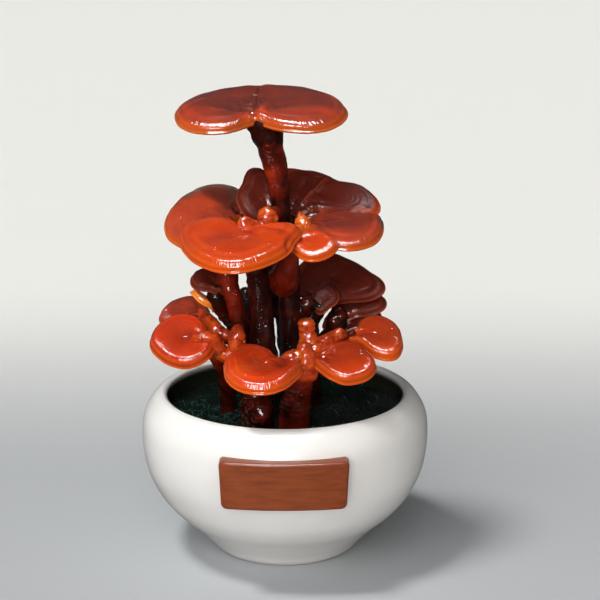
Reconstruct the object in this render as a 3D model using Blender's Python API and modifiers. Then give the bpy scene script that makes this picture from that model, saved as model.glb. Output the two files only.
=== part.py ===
"""Potted reishi: a glazed bowl of moss, from which branching stems carry lacquered caps in three tiers.

Lengths in the tables are millimetres and are turned into metres as the meshes are made. +Z is up, the
origin is the centre of the bowl's flat foot, and the bare name plate faces -Y.
"""
import math
from typing import NamedTuple

import bmesh
import bpy
from mathutils import Matrix, Vector

MM = 0.001
GAP = 0.3                 # clearance between neighbouring pieces
SWELL = 0.4               # growth of a cutter, which leaves the gap between faceted faces
WELD = 0.00005            # merge distance in metres

# Bowl
BOWL_STEPS = 28
BELLY_RADIUS = 90.0
BELLY_HEIGHT = 75.0
RIM_HEIGHT = 101.0
MOUTH_RADIUS = 74.5
FOOT_RADIUS = 44.0
FLOOR_THICKNESS = 8.0
# radius and height of the outer side from the rim's crest down to the foot
BOWL_OUTSIDE = (
    (76.5, RIM_HEIGHT), (79.5, 100.0), (83.0, 97.0), (87.2, 90.5), (89.4, 83.5), (BELLY_RADIUS, BELLY_HEIGHT),
    (89.6, 66.0), (87.6, 54.5), (84.0, 45.0), (78.3, 35.0), (70.5, 26.0), (61.0, 17.5), (51.5, 8.0),
    (47.0, 2.5), (FOOT_RADIUS, 0.0),
)
# and of the inner side from the floor up to the mouth
BOWL_INSIDE = (
    (45.0, FLOOR_THICKNESS), (67.0, 28.0), (84.0, 62.0), (84.6, 75.0), (82.0, 86.0),
    (77.5, 93.0), (MOUTH_RADIUS, 97.0), (74.3, 99.5),
)

# Name plate
PLATE_CENTRE_HEIGHT = 71.0
PLATE_TOP_WIDTH = 77.0
PLATE_BOTTOM_WIDTH = 74.0
PLATE_HEIGHT = 29.5
PLATE_FRONT = 95.0        # from the bowl's axis to the middle of the plate's face
PLATE_BOW = 4.0           # how far the face's ends fall back from its middle
PLATE_BACK_RADIUS = 87.0  # hidden in the bowl's wall before the bowl is cut from it
PLATE_EDGE = 1.6

# Filling
SOIL_TOP = 62.0
FILLING_CLEAR = 0.9       # radial play of the fillings, which leaves the gap between faceted walls
MOSS_BOTTOM = SOIL_TOP + GAP
MOSS_TOP = 86.0
MOSS_CROWN = 3.0          # how much higher the moss stands in the middle
STEM_FOOT = 50.0          # how deep the stems are set
FILLING_STEPS = 16


class Cap(NamedTuple):
    """A cap spreads from its root, where the stalk meets it."""
    root: tuple           # x, y, z of the root
    heading: float        # compass bearing of its growth, degrees from +X
    pitch: float          # degrees that it climbs outwards
    roll: float           # degrees that it leans about its own heading
    middle: tuple         # of the rim's outline, forward and leftward from the root
    radii: tuple          # middle to rim, at even bearings starting straight back
    thick: float = 7.0
    hollow: float = 4.0   # how far the flesh rises from the root
    droop: float = 4.0    # how far the rim turns down again
    ripple: float = 0.8   # height of the rim's waves
    waves: int = 3
    sides: int = 18
    rings: int = 8
    colour: str = "brick"


CAPS = {
    "cap_top": Cap(
        root=(-17, -24, 276), heading=90, pitch=9.2, roll=0, middle=(28, 0), thick=8.5, droop=5.5,
        radii=(33, 46, 57, 58, 53, 45, 36, 28, 20, 25, 32, 41, 46, 52, 56, 50), waves=4, sides=22),
    "cap_mid_left": Cap(
        root=(-27, 2, 212), heading=178, pitch=0, roll=-14, middle=(20, 4), thick=6,
        radii=(24, 26, 38, 42, 33, 26, 25, 29, 37, 44, 33, 20)),
    "cap_mid_front": Cap(
        root=(-24, -38, 212), heading=-110, pitch=-14, roll=0, middle=(22, 4), thick=8, hollow=4, droop=5,
        radii=(22, 29, 42, 45, 36, 30, 28, 28, 30, 31, 30, 30, 32, 34, 41, 25), ripple=0.5, waves=2,
        sides=22, colour="orange"),
    "cap_mid_small": Cap(
        root=(7, -47, 208), heading=-15, pitch=-2, roll=24, middle=(11, -2), thick=5, hollow=2, droop=3,
        radii=(16, 13, 15, 15, 15, 12, 11, 12), ripple=0.3, sides=12, rings=6, colour="orange"),
    "cap_mid_right": Cap(
        root=(12, -14, 209), heading=0, pitch=0, roll=10, middle=(24, 0), thick=6.5, hollow=3,
        radii=(28, 24, 30, 35, 31, 26, 24, 26, 27, 21, 20, 22), sides=16),
    "cap_mid_back": Cap(
        root=(4, 6, 209), heading=80, pitch=36, roll=-7, middle=(18, -12), thick=6,
        radii=(18, 18, 24, 46, 36, 22, 18, 17, 18, 23, 33, 33, 29, 24, 22, 22), ripple=1.2, waves=4,
        sides=22, colour="plum"),
    "cap_mid_flap": Cap(
        root=(-10, -2, 212), heading=120, pitch=55, roll=0, middle=(13, 0), thick=5,
        radii=(16, 10, 9, 14, 20, 15, 18, 19), ripple=0.5, sides=12, rings=6, colour="plum"),
    "cap_low_left": Cap(
        root=(-48, -28, 143), heading=-170, pitch=-10, roll=-25, middle=(14, 0), thick=6.5, hollow=3,
        radii=(15, 19, 22, 24, 23, 21, 20, 19, 20, 23, 23, 20), sides=16),
    "cap_low_left_back": Cap(
        root=(-51, 5, 150), heading=170, pitch=0, roll=-20, middle=(12, 0), thick=5, hollow=2, droop=3,
        radii=(16, 12, 14, 13, 13, 18, 15, 12), sides=12, rings=6),
    "cap_low_dark": Cap(
        root=(-42, -15, 171), heading=150, pitch=24, roll=-10, middle=(6, 0), thick=6, hollow=2, droop=3,
        radii=(12, 11, 12, 11.5, 10.5, 11, 11, 9), sides=12, rings=6, colour="plum"),
    "cap_low_young": Cap(
        root=(-43, -12, 156), heading=190, pitch=38, roll=0, middle=(8.5, 0), thick=4, hollow=1.5,
        droop=2, radii=(9, 8, 8, 9, 10.5, 9, 8, 8), ripple=0.3, sides=12, rings=6, colour="orange"),
    "cap_low_front": Cap(
        root=(-2, -56, 137), heading=-125, pitch=-14, roll=-6, middle=(14, -2), thick=7.5, hollow=3,
        radii=(15, 20, 30, 28, 24, 24, 25, 25, 23, 21, 22, 18), ripple=0.5, waves=2, sides=16,
        colour="orange"),
    "cap_low_right_front": Cap(
        root=(23, -47, 136), heading=-8, pitch=-6, roll=22, middle=(16, -5), thick=6, hollow=3,
        radii=(21, 17, 16, 16, 15, 16, 17, 17, 16, 16, 14, 18), sides=16, ripple=0.5, colour="orange"),
    "cap_low_right": Cap(
        root=(40, -26, 142), heading=0, pitch=-4, roll=20, middle=(16, 0), thick=6, hollow=3,
        radii=(20, 14, 14, 18, 21, 18, 16, 17, 20, 22, 19, 15), sides=16, ripple=0.5, colour="orange"),
    "cap_low_back": Cap(
        root=(22, 14, 152), heading=50, pitch=44, roll=0, middle=(18, 0), thick=6, hollow=3,
        radii=(24, 19, 24, 40, 25, 19, 18, 22, 30, 32, 27, 19), sides=16, colour="plum"),
    "cap_low_back_mid": Cap(
        root=(30, 8, 144), heading=20, pitch=25, roll=10, middle=(14, 0), thick=5, hollow=2,
        radii=(22, 12, 10, 22, 20, 19, 16, 12), ripple=0.5, sides=12, rings=6, colour="plum"),
    "cap_low_back_low": Cap(
        root=(34, 1, 135.5), heading=20, pitch=25, roll=10, middle=(12, 0), thick=4, hollow=2,
        radii=(15, 8, 8, 12, 18, 17, 10, 8), ripple=0.5, sides=12, rings=6, colour="plum"),
    "cap_low_inner": Cap(
        root=(22, -8, 156), heading=70, pitch=50, roll=0, middle=(6, 0), thick=4, hollow=1, droop=2,
        radii=(10, 8, 10, 10, 9, 8, 7, 7), ripple=0.3, sides=12, rings=6, colour="plum"),
}

BEND = 8                  # how close to the rim a cap turns down
STOUT_RADIUS = 5.8        # stems past this have eight sides, the others six

# Stems, branches and buds: x, y, z and radius along each one
STEMS = {
    "stem_top": (
        (5, 2, STEM_FOOT, 7.5), (5, 0, 92, 7.5), (4, -4, 128, 7), (3, -6, 167, 6.8), (1, -9, 194, 6.2),
        (-2, -13, 222, 5.6), (-4, -16, 241, 6.6), (-8, -19, 258, 8), (-12, -22, 273, 9.5)),
    "stem_mid_front": (
        (-15, -16, STEM_FOOT, 8), (-17, -26, 90, 9.5), (-17, -28, 108, 9), (-14, -25, 128, 8.6),
        (-13.8, -24, 155, 7.2), (-16.5, -29, 180, 6.2), (-19, -35, 196, 6.5), (-23, -38, 209, 6)),
    "stem_mid_left": (
        (-22, 16, STEM_FOOT, 6), (-22, 6, 92, 5.5), (-24, -8, 120, 5), (-26, -14, 142, 5),
        (-31, -14, 162, 5.4), (-35, -11, 178, 6.4), (-34, -5, 195, 6.2), (-30, 0, 208, 4.6)),
    "stem_mid_back": (
        (4, 30, STEM_FOOT, 5.8), (3, 27, 110, 6.6), (1, 22, 128, 6.6), (-0.5, 19, 142, 5.8),
        (-5.5, 17, 156, 5.8), (-5, 14, 180, 5.8), (5, 8, 207, 5)),
    "stem_low_left": (
        (-38, 6, STEM_FOOT, 5), (-36, 2, 95, 5), (-38, -10, 116, 4.6), (-43, -23, 131, 4.4),
        (-50, -28, 142, 3)),
    "stem_low_right": (
        (8, -24, STEM_FOOT, 8.5), (6, -33, 86, 8.8), (7, -40, 105, 8.2), (10, -46, 122, 7.5),
        (13, -49, 134, 6.5), (12, -50, 143, 5)),
    "stem_back_right": (
        (18, 22, STEM_FOOT, 6.5), (15, 18, 110, 6.8), (14.5, 15, 138, 6.8), (22, 14, 150, 4.5)),
    "bud_back": (
        (-9, 27, STEM_FOOT, 5), (-13, 22, 105, 5), (-20, 14, 130, 5), (-23.5, 11, 148, 5.2),
        (-24.7, 9, 158, 5.2), (-25, 8, 162, 3.5)),
    "stem_low_dark": (
        (-28, -14, 140, 2.6), (-33, -14, 146.5, 3.2), (-37.5, -14, 154, 4.4), (-42, -15, 164, 5.4),
        (-43, -15, 170, 3.4)),
    "branch_mid_small": (
        (2, -10, 172, 6), (0, -18, 176, 8.6), (-0.5, -28, 181, 8.8), (4, -40, 196, 5), (8, -46, 205, 3)),
    "branch_mid_right": (
        (2, -9, 186, 4.5), (7, -12, 197, 5), (12, -14, 208, 4)),
    "branch_left_upper": (
        (-27, -15, 133.5, 3), (-35, -18, 139.5, 4.4), (-42.5, -15, 144.5, 4.6), (-48.5, -6, 149, 4),
        (-53, 4, 150.5, 2)),
    "branch_low_front": (
        (13, -49, 136, 4.2), (7, -52, 138, 4.6), (2, -55, 137.5, 3.8), (-2, -56, 136.5, 2.4)),
    "branch_low_right": (
        (13, -49, 135, 4), (18, -44, 140.5, 4.8), (25, -39, 143.5, 4.3), (33, -32, 146, 3.7),
        (37.5, -28, 144, 2.3), (42, -26, 145, 2.1)),
    "branch_right_front": (
        (12, -48, 127, 4), (18, -48, 131, 4.4), (24, -47, 136, 2.5)),
    "branch_mid_front": (
        (-26, -42, 211, 3), (-23, -42, 216, 4.4), (-17, -38, 214.5, 3.8), (-12, -33, 215, 4.4),
        (-8.5, -26, 219.5, 5.2), (-3, -15, 220, 4.4)),
    "branch_left_lower": (
        (-26, -33, 137, 3.4), (-32, -32, 134.5, 4.4), (-37.5, -31, 133.5, 4.8), (-42, -29, 137, 3.8),
        (-44.5, -28.5, 139.5, 3)),
    "bud_left": (
        (-17, -27, 128, 4.5), (-24.5, -32, 132, 5), (-28, -34, 139, 5.8), (-28.5, -34, 146, 5.6),
        (-28, -34, 150.5, 3.4)),
    "bud_right": (
        (16.3, -39.7, 140, 5.6), (15.2, -39.6, 143, 5.8), (14.3, -40, 148.5, 5), (13.3, -40, 154, 5.3),
        (13, -40, 157, 4.4)),
    "branch_mid_flap": ((-1, 12.5, 187, 4), (-5, 7, 198, 4.5), (-10, -1, 212.5, 2)),
    "branch_low_inner": ((4, -5, 150, 4.5), (10, -5, 154, 5), (15, -5, 157, 5.4), (22, -8, 157, 1.6)),
    "branch_back_low": (
        (18, 16, 120, 3.5), (24, 11, 128, 4.5), (31, 5, 138, 6.5), (33, 3, 147, 6.5), (33, 3, 152, 4)),
    "bud_mid_right": ((11, -19, 205, 3), (11, -20, 211, 4.8), (10, -20, 215.5, 3.8), (9.5, -19, 218.5, 1.5)),
}

GROUND_STEMS = (
    "stem_top", "stem_mid_front", "stem_mid_left", "stem_mid_back", "stem_low_left", "stem_low_right",
    "stem_back_right", "bud_back",
)

# Each piece on the left is cut to fit round the ones on the right
FITS = {
    "plaque": ("bowl",),
    "soil": GROUND_STEMS,
    "moss_bed": GROUND_STEMS,
    "stem_top": ("cap_top",),
    "stem_mid_front": ("cap_mid_front",),
    "stem_mid_left": ("cap_mid_left",),
    "stem_mid_back": ("cap_mid_back",),
    "stem_low_left": ("cap_low_left",),
    "stem_low_right": ("cap_low_right_front",),
    "stem_back_right": ("cap_low_back",),
    "stem_low_dark": ("stem_mid_left", "cap_low_dark"),
    "branch_mid_small": ("stem_top", "cap_mid_small"),
    "branch_mid_right": ("stem_top", "cap_mid_right"),
    "branch_mid_front": ("stem_top", "cap_mid_front"),
    "branch_left_upper": ("stem_mid_left", "stem_low_dark", "cap_low_left_back"),
    "branch_left_lower": ("bud_left", "stem_low_left", "cap_low_left"),
    "branch_low_front": ("stem_low_right", "cap_low_front"),
    "branch_low_right": ("stem_low_right", "branch_right_front", "cap_low_right"),
    "branch_right_front": ("stem_low_right", "cap_low_right_front"),
    "branch_mid_flap": ("stem_mid_back", "cap_mid_flap"),
    "branch_low_inner": ("stem_top", "cap_low_inner"),
    "branch_back_low": ("stem_back_right", "cap_low_back"),
    "bud_left": ("stem_mid_front",),
    "bud_right": ("branch_low_right", "stem_low_right"),
    "bud_mid_right": ("cap_mid_right", "branch_mid_right"),
    "cap_mid_left": ("cap_mid_front",),
    "cap_low_dark": ("stem_mid_left",),
    "cap_low_young": ("stem_low_dark", "cap_low_dark"),
    "cap_mid_small": ("cap_mid_front",),
    "cap_mid_back": ("cap_mid_right",),
    "cap_low_back_mid": ("cap_low_back", "stem_back_right", "branch_back_low"),
    "cap_low_back_low": ("cap_low_right", "branch_back_low"),
}

# base colour, roughness of the materials
COLOURS = {
    "glaze": ((0.86, 0.86, 0.84), 0.12),
    "plate": ((0.14, 0.035, 0.022), 0.3),
    "soil": ((0.06, 0.045, 0.03), 0.9),
    "moss": ((0.006, 0.022, 0.016), 0.95),
    "bark": ((0.055, 0.012, 0.010), 0.3),
    "orange": ((0.62, 0.11, 0.025), 0.25),
    "brick": ((0.40, 0.055, 0.028), 0.25),
    "plum": ((0.085, 0.022, 0.020), 0.3),
}


def catmull_rom(before, start, end, after, step):
    """Blend four neighbouring values or vectors, step running from start (0) to end (1)."""
    square = step * step
    cube = square * step
    return 0.5 * (2 * start + (end - before) * step + (2 * before - 5 * start + 4 * end - after) * square
                  + (3 * start - before - 3 * end + after) * cube)


def rim_radius(cap, bearing):
    """Distance from the outline's middle to the rim; the radii start at a bearing of -180 degrees."""
    count = len(cap.radii)
    place = (bearing + math.pi) / math.tau * count
    first = math.floor(place)
    around = [cap.radii[(first + shift) % count] for shift in (-1, 0, 1, 2)]
    return catmull_rom(*around, place - first)


def cap_point(cap, unit):
    """Carry a point of the unit sphere to the cap: its equator becomes the rim, its poles the middle."""
    share = min(1.0, math.hypot(unit.x, unit.y))
    bearing = math.atan2(unit.y, unit.x)
    radius = rim_radius(cap, bearing)
    x = cap.middle[0] + radius * share * math.cos(bearing)
    y = cap.middle[1] + radius * share * math.sin(bearing)
    from_root = math.hypot(x, y)
    growth = from_root / (from_root + radius * (1 - share))
    flesh = cap.hollow * (1 - (1 - growth) ** 2) - cap.droop * share ** BEND
    wave = cap.ripple * share ** 2 * math.cos(cap.waves * bearing)
    skin = math.copysign(0.5 * cap.thick * math.sqrt(1 - share ** 6), unit.z)
    return Vector((x, y, flesh + wave + skin)) * MM


def cap_frame(cap):
    """Place and turn of a cap: X is its heading, Z its upper face."""
    turn = (Matrix.Rotation(math.radians(cap.heading), 4, "Z")
            @ Matrix.Rotation(math.radians(-cap.pitch), 4, "Y")
            @ Matrix.Rotation(math.radians(cap.roll), 4, "X"))
    return Matrix.Translation(Vector(cap.root) * MM) @ turn


def start_afresh():
    for old in list(bpy.data.objects):
        bpy.data.objects.remove(old, do_unlink=True)


def new_collection(name):
    group = bpy.data.collections.new(name)
    bpy.context.scene.collection.children.link(group)
    return group


def new_material(name):
    colour, roughness = COLOURS[name]
    material = bpy.data.materials.new(name)
    material.use_nodes = True
    shader = material.node_tree.nodes["Principled BSDF"]
    shader.inputs["Base Color"].default_value = (*colour, 1.0)
    shader.inputs["Roughness"].default_value = roughness
    shader.inputs["Metallic"].default_value = 0.0
    material.diffuse_color = (*colour, 1.0)
    return material


def new_piece(name, mesh, material):
    piece = bpy.data.objects.new(name, mesh)
    mesh.materials.append(material)
    parts.objects.link(piece)
    return piece


def mesh_from(bm, name, sharp=40.0):
    mesh = bpy.data.meshes.new(name)
    bmesh.ops.recalc_face_normals(bm, faces=bm.faces)
    bm.to_mesh(mesh)
    bm.free()
    mesh.shade_smooth()
    mesh.set_sharp_from_angle(angle=math.radians(sharp))
    return mesh


def turned_piece(name, profile, material, steps):
    """A profile of (radius, height) turned about the bowl's axis."""
    bm = bmesh.new()
    corners = [bm.verts.new((radius * MM, 0, height * MM)) for radius, height in profile]
    for start, end in zip(corners, corners[1:]):
        bm.edges.new((start, end))
    mesh = bpy.data.meshes.new(name)
    bm.to_mesh(mesh)
    bm.free()
    piece = new_piece(name, mesh, material)
    screw = piece.modifiers.new("Turn", "SCREW")
    screw.steps = steps
    screw.render_steps = steps
    screw.use_merge_vertices = True
    screw.merge_threshold = WELD
    screw.use_smooth_shade = True
    return piece


def bowl():
    profile = ((0, FLOOR_THICKNESS), *BOWL_INSIDE, *BOWL_OUTSIDE, (0, 0))
    return turned_piece("bowl", profile, materials["glaze"], BOWL_STEPS)


def inside_radius(height):
    """Radius of the bowl's inner side at a height."""
    for (low_radius, low), (high_radius, high) in zip(BOWL_INSIDE, BOWL_INSIDE[1:]):
        if low <= height <= high:
            return low_radius + (high_radius - low_radius) * (height - low) / (high - low)
    return BOWL_INSIDE[0][0]


def filling_side(bottom, top):
    """Outer side of a filling, from its top down, standing clear of the bowl."""
    between = [height for _, height in BOWL_INSIDE if bottom < height < top]
    return [(inside_radius(height) - FILLING_CLEAR, height) for height in (top, *reversed(between), bottom)]


def soil():
    bottom = FLOOR_THICKNESS + GAP
    side = filling_side(bottom, SOIL_TOP)
    return turned_piece("soil", [(0, SOIL_TOP), *side, (0, bottom)], materials["soil"], FILLING_STEPS)


def moss_bed():
    side = filling_side(MOSS_BOTTOM, MOSS_TOP)
    crown = MOSS_TOP + MOSS_CROWN
    return turned_piece("moss_bed", [(0, crown), *side, (0, MOSS_BOTTOM)], materials["moss"], FILLING_STEPS)


def plate():
    """A slab whose face is bowed a little and whose back lies in the bowl's wall."""
    bm = bmesh.new()
    bmesh.ops.create_cube(bm, size=1)
    across = [edge for edge in bm.edges if abs(edge.verts[0].co.x - edge.verts[1].co.x) > 0.5]
    bmesh.ops.subdivide_edges(bm, edges=across, cuts=5)
    for corner in bm.verts:
        share = 2 * corner.co.x
        width = PLATE_TOP_WIDTH if corner.co.z > 0 else PLATE_BOTTOM_WIDTH
        x = 0.5 * width * share
        if corner.co.y < 0:
            y = PLATE_BOW * share ** 2 - PLATE_FRONT
        else:
            y = -math.sqrt(PLATE_BACK_RADIUS ** 2 - x ** 2)
        corner.co = Vector((x, y, PLATE_CENTRE_HEIGHT + PLATE_HEIGHT * corner.co.z)) * MM
    piece = new_piece("plaque", mesh_from(bm, "plaque"), materials["plate"])
    edge = piece.modifiers.new("Edge", "BEVEL")
    edge.width = PLATE_EDGE * MM
    edge.segments = 2
    edge.limit_method = "ANGLE"
    edge.angle_limit = math.radians(50)
    return piece


def cap_piece(name, cap):
    bm = bmesh.new()
    bmesh.ops.create_uvsphere(bm, u_segments=cap.sides, v_segments=cap.rings, radius=1)
    for corner in bm.verts:
        corner.co = cap_point(cap, corner.co)
    bmesh.ops.triangulate(bm, faces=bm.faces)      # flat faces, so that the stalks are cut to this very form
    piece = new_piece(name, mesh_from(bm, name), materials[cap.colour])
    piece.matrix_world = cap_frame(cap)
    return piece


def smooth_route(points, per_span):
    """A smooth curve through hand-set points; each point is x, y, z and radius."""
    rows = [Vector(point) for point in points]
    rows = [2 * rows[0] - rows[1], *rows, 2 * rows[-1] - rows[-2]]
    route = []
    for index in range(1, len(rows) - 2):
        for step in range(per_span):
            route.append(catmull_rom(*rows[index - 1:index + 3], step / per_span))
    return [*route, rows[-2]]


def stem_piece(name, points):
    """A tube of changing radius along a smooth route, made a mesh so that it can be cut."""
    stout = max(point[3] for point in points) > STOUT_RADIUS
    route = smooth_route(points, 2)
    curve = bpy.data.curves.new(name, "CURVE")
    curve.dimensions = "3D"
    curve.bevel_depth = MM
    curve.bevel_resolution = 2 if stout else 1
    curve.use_fill_caps = True
    curve.render_resolution_u = 0
    line = curve.splines.new("POLY")
    line.points.add(len(route) - 1)
    for point, (x, y, z, radius) in zip(line.points, route):
        point.co = (x * MM, y * MM, z * MM, 1)
        point.radius = radius
    tube = bpy.data.objects.new(name + "_route", curve)
    parts.objects.link(tube)
    evaluated = tube.evaluated_get(bpy.context.evaluated_depsgraph_get())
    mesh = bpy.data.meshes.new_from_object(evaluated)
    bm = bmesh.new()
    bm.from_mesh(mesh)
    bmesh.ops.remove_doubles(bm, verts=bm.verts, dist=WELD)
    piece = new_piece(name, mesh_from(bm, name, sharp=60), materials["bark"])
    piece.matrix_world = tube.matrix_world
    bpy.data.objects.remove(tube, do_unlink=True)
    bpy.data.meshes.remove(mesh)
    return piece


def cutter_of(piece):
    """A hidden copy of a piece, swelled by the gap, made once for every piece it is cut from."""
    name = "clear_" + piece.name
    if name in cutters.objects:
        return cutters.objects[name]
    copy = piece.copy()
    copy.name = name
    cutters.objects.link(copy)
    copy.hide_render = True
    copy.display_type = "WIRE"
    for modifier in list(copy.modifiers):
        if modifier.type == "BOOLEAN":
            copy.modifiers.remove(modifier)
    swell = copy.modifiers.new("Swell", "DISPLACE")
    swell.strength = SWELL * MM
    swell.mid_level = 0
    return copy


def fit_round(piece_name, neighbour_names):
    """Cut a piece so that it meets its neighbours with the gap all round."""
    piece = parts.objects[piece_name]
    for neighbour_name in neighbour_names:
        cut = piece.modifiers.new("Fit " + neighbour_name, "BOOLEAN")
        cut.operation = "DIFFERENCE"
        cut.object = cutter_of(parts.objects[neighbour_name])


start_afresh()
parts = new_collection("potted_reishi")
cutters = new_collection("cutters")
materials = {name: new_material(name) for name in COLOURS}

bowl()
soil()
moss_bed()
plate()
for cap_name, cap_shape in CAPS.items():
    cap_piece(cap_name, cap_shape)
for stem_name, stem_points in STEMS.items():
    stem_piece(stem_name, stem_points)
bpy.context.view_layer.update()
for fitted, neighbours in FITS.items():
    fit_round(fitted, neighbours)
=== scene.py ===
"""Looks of the potted reishi: lacquered caps, knobbly stems, curly moss, glazed bowl and bare name plate.

Lengths in the tables are millimetres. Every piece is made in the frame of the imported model: the origin is the
centre of the bowl's foot, +Z is up and the name plate faces -Y.
"""

import itertools
import math
from typing import NamedTuple

import bpy
import numpy as np
from mathutils import Matrix, Vector


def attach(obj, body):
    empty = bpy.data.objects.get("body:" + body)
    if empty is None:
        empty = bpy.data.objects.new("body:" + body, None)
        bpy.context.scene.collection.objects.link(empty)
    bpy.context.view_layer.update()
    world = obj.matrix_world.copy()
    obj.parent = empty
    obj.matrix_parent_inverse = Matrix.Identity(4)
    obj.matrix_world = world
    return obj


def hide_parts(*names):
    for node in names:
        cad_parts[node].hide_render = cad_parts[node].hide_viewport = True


MM = 0.001

# Bowl, as radius and height
BOWL_STEPS = 160
BOWL_OUTSIDE = (
    (76.5, 101), (79.5, 100), (83, 97), (87.2, 90.5), (89.4, 83.5), (90, 75), (89.6, 66), (87.6, 54.5),
    (84, 45), (78.3, 35), (70.5, 26), (61, 17.5), (51.5, 8), (47, 2.5), (44, 0),
)
BOWL_INSIDE = (
    (45, 8), (67, 28), (84, 62), (84.6, 75), (82, 86), (77.5, 93), (74.5, 97), (74.3, 99.5),
)
BOWL_FLAT = 22.0          # radius of a ring on its flat floor and foot
BOWL_INSIDE_DARKENING = (94, 100.5)  # the inside darkens from the upper to the lower of these heights

# Name plate
PLATE_CENTRE_HEIGHT = 71.0
PLATE_TOP_WIDTH = 77.0
PLATE_BOTTOM_WIDTH = 74.0
PLATE_HEIGHT = 29.5
PLATE_FRONT = 95.0
PLATE_BOW = 4.0
PLATE_BACK = 80.0         # its back is hidden in the bowl's wall
PLATE_CORNER = 3.2
PLATE_EDGE = 1.7

# Moss
MOSS_RADIUS = 80.5
MOSS_GROUND = 82.5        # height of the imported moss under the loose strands
MOSS_FLOOR = 63.0
MOSS_TIPS = 88.0
LIT_MOSS_PATCH = (-48, -10, 22, 24)    # x, y and half widths of the painted pool of light on the moss, where most strands are bright teal
STRANDS = 5200
THREADS = 46
THREAD_STEM = (-17, -27)  # x and y of the stem that the root threads cling to
THREAD_RADIUS = 9.6


class Cap(NamedTuple):
    """A cap spreads from its root, where the stalk meets it; the fields down to waves are the CAD cap's own.

    Creases, dusks and streaks run between two points of its plane, x ahead of the root and y to its left.
    """
    root: tuple              # x, y, z
    heading: float           # compass bearing of its growth, degrees from +X
    pitch: float             # degrees that it climbs outwards
    roll: float              # degrees that it leans about its own heading
    middle: tuple            # of the rim's outline, forward and leftward from the root
    radii: tuple             # middle to rim, at even bearings starting straight back
    thick: float = 7.0
    hollow: float = 4.0      # how far the flesh rises from the root
    droop: float = 4.0       # how far the rim turns down again
    bend: float = 8.0        # how close to the rim it does so
    ripple: float = 0.8      # height of the rim's waves
    waves: int = 3
    roll_width: float = 1.0  # of the rolled rim, against a large cap's
    bands: float = 0.06      # height of the lines that follow the rim
    wrinkle: float = 0.7     # height of the radial wrinkles round the root
    fold: float = 0.6        # height of slow swells
    funnel: float = 1.5      # depth of the dimple over the stalk
    crumples: tuple = ()     # x, y, radius, height of crinkled skin
    creases: tuple = ()      # x, y, x, y, half width, depth, step up to the left
    spots: tuple = ()        # x, y, length, width, turn, depth, darkening: painted shade in a dent, painted highlight on a raised spot, the cap's own colour on a flat one
    dusks: tuple = ()        # x, y, x, y, softness, darkening of the left side: painted shade past a fold, partly the cap's older colour
    streaks: tuple = ()      # x, y, x, y, half width, darkening: below 0 a painted highlight along a ridge or fold, on the curled lip also its own orange; above 0 painted shade along a crease
    lit_rims: tuple = ()     # from and to in degrees about the middle, strength
    dull_rims: tuple = ()    # from and to in degrees about the middle, width of the grey-brown band
    age: float = 0.0         # 0 young and orange, 1 old and dark
    back_shade: float = 0.3    # how much darker the side away from the front is: painted shade
    rim_glow: float = 1.0
    skin: str = "brick"
    sides: int = 160


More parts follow.
